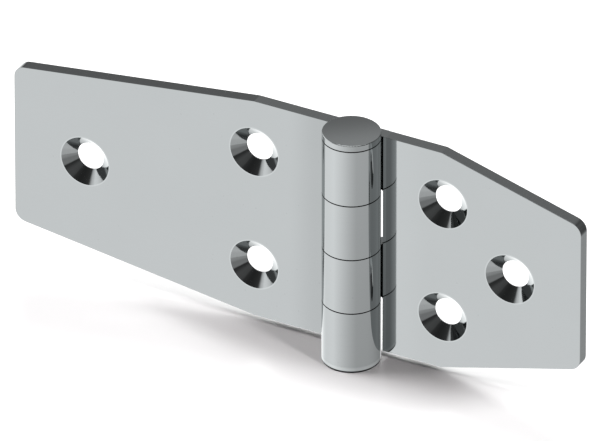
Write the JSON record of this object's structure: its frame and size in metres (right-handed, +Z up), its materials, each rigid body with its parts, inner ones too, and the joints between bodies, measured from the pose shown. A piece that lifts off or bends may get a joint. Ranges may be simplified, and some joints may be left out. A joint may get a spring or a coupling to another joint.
{
  "type": "leaf hinge",
  "caption": "Polished stainless leaf hinge with rolled knuckles, a headed pin, one long and one short tapered leaf, and countersunk screw holes.",
  "frame": {"origin": "on the pin's axis, at the lower end of the barrel", "axes": "+Z up along the pin, towards its head. -X towards the end of the long leaf and +X towards the end of the short leaf. +Y towards the surface that the leaves are screwed to, so the countersinks face -Y."},
  "size_m": [0.0971, 0.009, 0.0402],
  "materials": {
    "leaf_steel": "polished stainless steel sheet",
    "pin_steel": "turned and polished stainless steel"
  },
  "bodies": {
    "long_side": {"long_leaf": "leaf_steel", "hinge_pin": "pin_steel", "foot_disc": "pin_steel"},
    "short_side": {"short_leaf": "leaf_steel"}
  },
  "joints": [
    {"name": "leaf_swing", "type": "hinge", "parent": "long_side", "child": "short_side", "pos_m": [0, 0, 0.02], "axis": [0, 0, 1], "range_deg": [-180, 72]}
  ]
}
